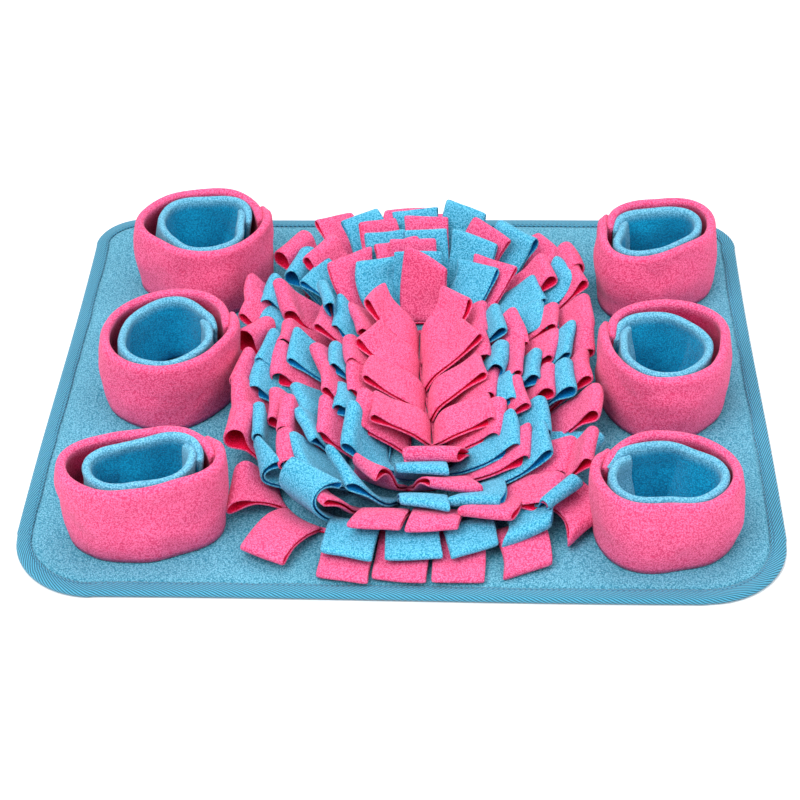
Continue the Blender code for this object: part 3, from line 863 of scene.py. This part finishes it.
POSES = [
    # the front, from left to right
    Pose(1, 22, 4, 7, 24, 10, -18, -30, -10, 1.9),
    Pose(1, 23, 0, 10, 18, 0, 0, 2, 2, 0.9),
    Pose(1, 24, 0, -3, 0, 0, 0, -7, 0, 0.9),
    Pose(1, 0, 0, -2, 0, 0, 0, -3, 0, 0.9),
    Pose(1, 1, 0, 0, 0, 0, 0, 2, 0, 0.9),
    Pose(1, 2, 0, -16, 23, 0, 0, 10, 0, 0.9),
    Pose(1, 3, 2, -40, 50, 0, 6, 14, 4, 1.9),
    Pose(1, 4, -14, -10, 0, 0, 0, 0, 0, 1.2),
    Pose(2, 19, 10, 10, 22, -150, 0, -20, 0, 1.0),
    Pose(2, 20, 10, -14, -42, -150, 0, -30, 12, 1.0),
    Pose(2, 21, 0, 2, 0, 0, 0, -7, 0, 0.9),
    Pose(2, 0, 0, 4, 0, 0, 0, -3, 0, 0.9),
    Pose(2, 1, 0, 1, 0, 0, 0, 20, -6, 0.9),
    Pose(2, 2, 0, -42, 22, 0, 8, 12, 0, 1.8),
    Pose(2, 3, -25, -20, 25, -70, 0, 0, 0, 1.5),
    Pose(2, 4, -20, -16, 32, 0, 0, -10, 5, 1.2),
    Pose(3, 16, 12, 16, -22, 0, -10, -2, 0, 1.4),
    Pose(3, 17, 8, 12, -30, 10, -12, -8, -4, 1.6),
    Pose(3, 18, 6, -10, -28, 0, 0, 0, 0, 1.0),
    Pose(3, 19, 0, -8, -6, 0, 0, -1, 0, 1.0),
    Pose(3, 0, 0, -7, -2, 0, 0, 10, 0, 1.0),
    Pose(3, 1, 0, -49, 0, 0, 0, 2, 0, 1.1),
    Pose(3, 2, -27, 10, 14, 0, 0, 0, 2, 1.7),
    Pose(3, 3, -34, -10, 26, 0, 4, -4, 2, 1.4),
    Pose(4, 15, 8, 4, -16, 0, -8, -2, 0, 1.0),
    Pose(4, 16, 4, -58, -38, 0, -8, 14, 0, 1.6),
    Pose(4, 0, 0, 1, -14, 8, 0, -14, 0, 1.1),
    Pose(4, 1, 0, -48, 0, 0, 0, 5, 3, 1.0),
    Pose(4, 2, -22, 34, 10, -24, 0, 0, 6, 1.2),
    Pose(4, 3, -20, 0, 6, 0, 4, 0, 0, 1.5),
    Pose(5, 12, -2, 0, -6, 0, 0, 5, 0, 1.1),
    Pose(5, 13, 2, -4, -46, 20, -6, -40, -6, 1.6),
    Pose(5, 0, 0, 10, -14, 8, -12, -18, 0, 1.2),
    Pose(5, 1, -12, 30, 6, 0, 0, 0, 4, 1.3),
    Pose(6, 11, 0, -18, -20, 0, -4, 14, -4, 1.5),
    Pose(6, 0, 0, 4, -22, 10, 0, -12, 0, 1.1),
    Pose(6, 1, -12, 34, 2, 0, 0, 0, 4, 1.4),
    Pose(7, 0, 10, -44, -18, 0, 0, 14, 0, 1.6),
    # the petals in the middle, from the front right round to the front left
    Pose(8, 0, -6, 4, 4, 0, -8, 0, 0, 1.0),
    Pose(8, 1, -6, 18, 0, 4, -12, 0, 2, 0.9),
    Pose(8, 2, -8, 30, -4, 4, -13, 0, 3, 0.9),
    Pose(8, 3, -12, 44, -8, 4, -14, 6, 4, 0.9),
    Pose(8, 4, 6, -38, -4, 4, 13, 4, 4, 1.1),
    Pose(8, 5, 6, -26, 0, 4, 13, 0, 3, 1.1),
    Pose(8, 6, 4, -13, 0, 4, 12, 0, 2, 1.0),
    Pose(8, 7, 4, -4, 2, 4, 9, 0, 2, 1.0),
    # the back, from right to left
    Pose(7, 5, -2, -8, -22, 0, 0, -26, 3, 0.8),
    Pose(6, 5, 6, 30, 0, 0, -8, 6, 0, 0.9),
    Pose(6, 6, -1, 0, -3, 0, 0, -5, -2, 0.8),
    Pose(6, 7, -18, -30, -4, 0, 0, 0, 0, 1.4),
    Pose(5, 5, 18, 30, -2, 0, 0, 6, 0, 0.8),
    Pose(5, 6, 28, 0, -4, 0, 0, -6, 0, 0.8),
    Pose(5, 8, -10, -34, -4, 0, 0, 4, 3, 0.8),
    Pose(4, 7, 16, 10, -6, 0, 0, -4, -2, 0.8),
    Pose(4, 8, 8, 0, -2, 0, 0, -1, -2, 0.8),
    Pose(4, 9, -5, 0, 0, 0, 0, -4, 0, 0.8),
    Pose(3, 7, 12, 0, 4, 0, 0, 0, 2, 1.6),
    Pose(3, 8, 18, -18, -4, 0, 0, -4, 0, 0.8),
    Pose(3, 9, 14, -4, 0, 0, 0, -2, 0, 0.8),
    Pose(3, 10, 8, 0, 0, 0, 0, -3, 0, 0.8),
    Pose(3, 11, 6, 10, 0, 0, 0, 0, 0, 1.6),
    Pose(2, 9, 14, 0, 0, 14, 0, 0, 0, 1.9),
    Pose(2, 10, 8, 0, -8, 0, 0, -8, 2, 0.8),
    # the right side, from front to back
    Pose(4, 5, 24, 0, 14, 0, 0, 0, 2, 1.2),
    Pose(4, 6, 10, 14, 12, 0, 0, 0, 2, 0.9),
    Pose(2, 7, 4, 0, 30, 0, 0, 0, 6, 1.0),
    Pose(2, 8, 0, 30, 18, 0, 0, 0, 6, 2.2),
    Pose(1, 10, -16, 0, 0, 0, 0, 0, 0, 2.0),
    Pose(1, 11, -18, -14, 14, 0, 0, 0, -4, 1.0),
    # the left side, from back to front
    Pose(1, 15, 4, 0, 0, 0, 0, 0, -6, 2.2),
    Pose(1, 16, 24, 0, 8, 0, 0, 10, 0, 1.0),
    Pose(1, 17, 14, -20, 10, 0, 0, 0, 0, 1.0),
    Pose(1, 18, 6, -10, 4, 0, 0, -24, 0, 2.6),
    Pose(1, 19, 12, -8, 4, 0, 0, 0, 0, 1.4),
    Pose(1, 21, 0, -4, 0, 0, 0, 0, 0, 2.6),
    Pose(2, 13, 10, 16, 8, 0, 0, 0, -6, 2.2),
    Pose(2, 14, 10, -4, 8, 0, 0, 0, 0, 1.4),
    Pose(2, 15, 2, 0, 18, 0, 0, -20, 0, 1.0),
    Pose(2, 16, 11, -4, 0, 0, 0, 0, 0, 1.0),
    Pose(2, 17, 4, -6, 8, 0, 0, 0, 0, 1.4),
    Pose(2, 18, 16, 8, 8, -50, 0, 4, 0, 1.2),
    Pose(3, 12, 20, -4, 4, 0, 0, 24, 2, 1.8),
    Pose(3, 13, 16, 12, 6, 0, 0, -18, 0, 1.4),
    Pose(3, 14, 20, 0, 8, 0, 0, 6, 0, 1.6),
    Pose(3, 15, 34, 0, 4, 0, 0, 0, 0, 1.2),
    Pose(4, 10, -4, 0, 10, 0, 0, 0, 0, 0.9),
    Pose(4, 11, -12, 10, -34, 0, 0, -10, 0, 1.2),
    Pose(4, 12, 12, -6, 4, 0, 0, 8, 4, 0.9),
    Pose(4, 13, 20, 18, 4, 0, 0, 0, 0, 0.9),
    Pose(4, 14, 14, 30, -14, 0, 0, 0, 0, 0.9),
    Pose(5, 10, 0, 18, -4, 0, 0, 0, 0, 1.4),
    Pose(5, 11, -4, 0, -12, 0, 0, -6, 0, 1.0),
    Pose(6, 8, -12, -16, 0, 0, 0, 10, 2, 0.9),
]


def loop_profile(whole, eye, waist):
    """How far up and off the middle the cloth lies, from the outer root over the fold to the inner root."""
    body = whole - eye
    rise = []
    for step in range(LOOP_UP + 1):
        up = body * step / LOOP_UP
        rise.append((up, waist + (eye - waist) * smooth(1 - (body - up) / FOLD)))
    turns = [math.pi * step / FOLD_STEPS for step in range(1, FOLD_STEPS)]
    over = [(body + eye * math.sin(turn), eye * math.cos(turn)) for turn in turns]
    return rise + over + [(up, -aside) for up, aside in reversed(rise)]


class SNUFFLE_OT_loops(bpy.types.Operator):
    """Eight rows of slit loops, one inside the other"""
    bl_idname = "snuffle.loops"
    bl_label = "Loops"

    def execute(self, context):
        colours = settings().colours
        finishes = {"pink": fleece("pink fleece", colours.pink, bloom=0.075, hollow_shade=colours.fold),
                    "blue": fleece("blue fleece", colours.blue, bloom=0.10)}
        # painted shade: the loops' inner sides get richer, bounce-lit copies of their colours
        inside_shades = {"pink": fleece("pink inside", colours.pink_inside, bloom=0.0),
                   "blue": fleece("blue inside", colours.blue_inside, bloom=0.0)}
        draw = random.Random(settings().loops.seed)
        for row in ROWS:
            self.row(row, finishes[row.colour], inside_shades[row.colour], draw)
        return {"FINISHED"}

    def row(self, row, finish, inside, draw):
        """One strip: the narrow band that is sewn down, and its loops."""
        loops = settings().loops
        strip = Strip(row)
        count = int(strip.round / (loops.width / MM + SLIT))
        pitch = strip.round / count
        number = ROWS.index(row) + 1
        poses = {pose.loop: pose for pose in POSES if pose.row == number}
        bm = bmesh.new()
        for index in range(count):
            loose = Pose(number, index, *[draw.uniform(low, high) for low, high in LOOSE])
            pose = poses.get(index, loose)
            self.loop(bm, strip, (index + row.start) * pitch + pose.slide, pitch - SLIT, pose)
        self.band(bm, strip)
        piece = finish_piece(bm, row.name.replace("loops_", "fleece_loops_"), finish,
                             [row.name], layer=loops.layer, inside=inside)

    def loop(self, bm, strip, middle, width, pose):
        """One loop: a strip of cloth that goes up, over its fold and down again."""
        loops = settings().loops
        whole = strip.row.length + pose.more
        foot, out = strip.foot(middle)
        aside, upright = Vector((-out.y, out.x, 0)), Vector((0, 0, 1))
        eye = loops.eye / MM * pose.eye * (EYE_FRONT + (EYE_SIDE - EYE_FRONT) * abs(out.x))
        profile = loop_profile(whole, eye, loops.waist / MM)
        low, high = leans(strip.row, foot, out)
        droop = DROOP * max(0.0, -out.y) * min(1.0, max(0.0, (UPRIGHT - high) / DROOP_OVER))
        spine = bent(low, high + math.radians(pose.lean), math.radians(pose.curl + droop), whole)
        for vert in grid(bm, LOOP_ACROSS, len(profile) - 1):
            up, off = profile[round((vert.co.y + 1) / 2 * (len(profile) - 1))]
            share = up / whole
            gone, rise, lean = spine[min(len(spine) - 1, round(up / SPINE_STEP))]
            way = out * math.cos(lean) - upright * math.sin(lean)
            along = out * math.sin(lean) + upright * math.cos(lean)
            turn = Matrix.Rotation(math.radians(-pose.tilt) * smooth(share), 3, way)
            turn = Matrix.Rotation(math.radians(pose.twist) * smooth(share), 3, along) @ turn
            side = vert.co.x * width / 2
            root = strip.foot(middle + side)[0] - foot - aside * side
            point = out * gone + upright * rise + turn @ (aside * side + way * off)
            point += root * (1 - smooth(up / KNEE))
            swing = Matrix.Rotation(math.radians(pose.swing) * share, 3, upright)
            point = foot + bowed(foot) + swing @ point
            wave = Vector([drift(point, *LOOP_PUCKERS, seed) + drift(point, *LOOP_WAVES, seed + 2)
                           for seed in (1.0, 5.0, 8.0)])
            vert.co = ruffled(point + wave * share, strip.base)

    def band(self, bm, strip):
        """The sewn root of the strip, as a low channel under the loops."""
        waist = settings().loops.waist / MM
        upper, lower = strip.top + BAND_RISE, strip.base + BAND_CLEAR
        section = [(waist, upper), (waist, lower), (-waist, lower), (-waist, upper)]
        made = grid(bm, int(strip.round / BAND_STEP), len(section) - 1)
        for vert in made:
            off, height = section[round((vert.co.y + 1) / 2 * (len(section) - 1))]
            spot, out = strip.foot((vert.co.x + 1) / 2 * strip.round)
            place = spot + out * off + bowed(spot)
            vert.co = Vector((place.x, place.y, height))
        bmesh.ops.remove_doubles(bm, verts=made, dist=0.001)


# ---------------------------------------------------------------- studio

# Places and sizes are in metres, turns in degrees, the lens and its sensor in millimetres.
FLOOR_SIZE, FLOOR_DROP = 6.0, 0.0004
Lamp = namedtuple("Lamp", "name place size power")
LAMPS = [
    Lamp("key", (-0.7, -0.9, 1.7), 1.3, 37.0),
    Lamp("fill", (1.2, -0.7, 1.2), 1.6, 13.0),
    Lamp("top", (0.1, 0.7, 1.9), 1.6, 18.0),
]
SKY = 0.62
CAMERA_PLACE = (0.048, -1.120, 0.882)
CAMERA_TURN = (51.54, 0.98, 1.93)
LENS, SENSOR = 90.0, 36.0
CAMERA_REACH = 20.0


class SNUFFLE_OT_stage(bpy.types.Operator):
    """A plain pale floor, soft lights and the camera"""
    bl_idname = "snuffle.stage"
    bl_label = "Stage"

    def execute(self, context):
        scene = context.scene
        self.floor(scene)
        for lamp in LAMPS:
            self.light(scene, lamp)
        world = scene.world or bpy.data.worlds.new("studio")
        scene.world = world
        world.use_nodes = True
        sky = world.node_tree.nodes["Background"]
        sky.inputs["Color"].default_value = (1.0, 1.0, 1.0, 1.0)
        sky.inputs["Strength"].default_value = SKY
        scene.view_settings.view_transform = "Standard"
        self.camera(scene)
        return {"FINISHED"}

    def floor(self, scene):
        """A wide pale floor, faintly clouded."""
        bm = bmesh.new()
        bmesh.ops.create_grid(bm, x_segments=1, y_segments=1, size=FLOOR_SIZE)
        mesh = bpy.data.meshes.new("floor")
        bm.to_mesh(mesh)
        bm.free()
        floor = bpy.data.objects.new("floor", mesh)
        floor.location.z = -FLOOR_DROP
        pale = settings().colours.floor
        finish = Finish("floor", roughness=0.9)
        place = finish.add("ShaderNodeTexCoord").outputs["Object"]
        cloud = finish.add("ShaderNodeTexNoise", Vector=place, Scale=3.0)
        tone = finish.ramp(cloud.outputs["Fac"], shaded(pale, 0.99), shaded(pale, 1.01))
        finish.fill(finish.shader, Base_Color=tone)
        mesh.materials.append(finish.material)
        scene.collection.objects.link(floor)

    def light(self, scene, lamp):
        """A soft square light that faces the mat."""
        data = bpy.data.lights.new(lamp.name, "AREA")
        data.size = lamp.size
        data.energy = lamp.power
        light = bpy.data.objects.new(lamp.name, data)
        light.location = lamp.place
        light.rotation_euler = (-Vector(lamp.place)).to_track_quat("-Z", "Y").to_euler()
        scene.collection.objects.link(light)

    def camera(self, scene):
        """The camera, where the fit to the mat's edges puts it."""
        data = bpy.data.cameras.new("camera")
        data.lens = LENS
        data.sensor_width = SENSOR
        data.clip_end = CAMERA_REACH
        camera = bpy.data.objects.new("camera", data)
        camera.location = CAMERA_PLACE
        camera.rotation_euler = Euler([math.radians(part) for part in CAMERA_TURN])
        scene.collection.objects.link(camera)
        scene.camera = camera


# ---------------------------------------------------------------- add-on

class SNUFFLE_PT_panel(bpy.types.Panel):
    """Sizes, colours and steps of the snuffle mat"""
    bl_label = "Snuffle mat"
    bl_idname = "SNUFFLE_PT_panel"
    bl_space_type = "VIEW_3D"
    bl_region_type = "UI"
    bl_category = "Snuffle mat"

    def draw(self, context):
        whole = context.scene.snuffle_mat
        for group in (whole.mat, whole.cups, whole.loops, whole.colours):
            box = self.layout.box()
            for key in group.__annotations__:
                box.prop(group, key)
        for step in STEPS:
            self.layout.operator(step.bl_idname)


STEPS = [SNUFFLE_OT_stage, SNUFFLE_OT_base_mat, SNUFFLE_OT_binding, SNUFFLE_OT_cups, SNUFFLE_OT_loops]
GROUPS = [MatSettings, CupSettings, LoopSettings, ColourSettings, SnuffleMatSettings]
CLASSES = GROUPS + STEPS + [SNUFFLE_PT_panel]


def register():
    """Makes the settings, the steps and the panel known to Blender."""
    for kind in CLASSES:
        bpy.utils.register_class(kind)
    bpy.types.Scene.snuffle_mat = bpy.props.PointerProperty(type=SnuffleMatSettings)


def unregister():
    """Takes them away again."""
    del bpy.types.Scene.snuffle_mat
    for kind in reversed(CLASSES):
        bpy.utils.unregister_class(kind)


def main():
    """Dresses the frame from the stage to the loops."""
    register()
    bpy.ops.snuffle.stage()
    bpy.ops.snuffle.base_mat()
    bpy.ops.snuffle.binding()
    bpy.ops.snuffle.cups()
    bpy.ops.snuffle.loops()


if __name__ == "__main__":
    main()
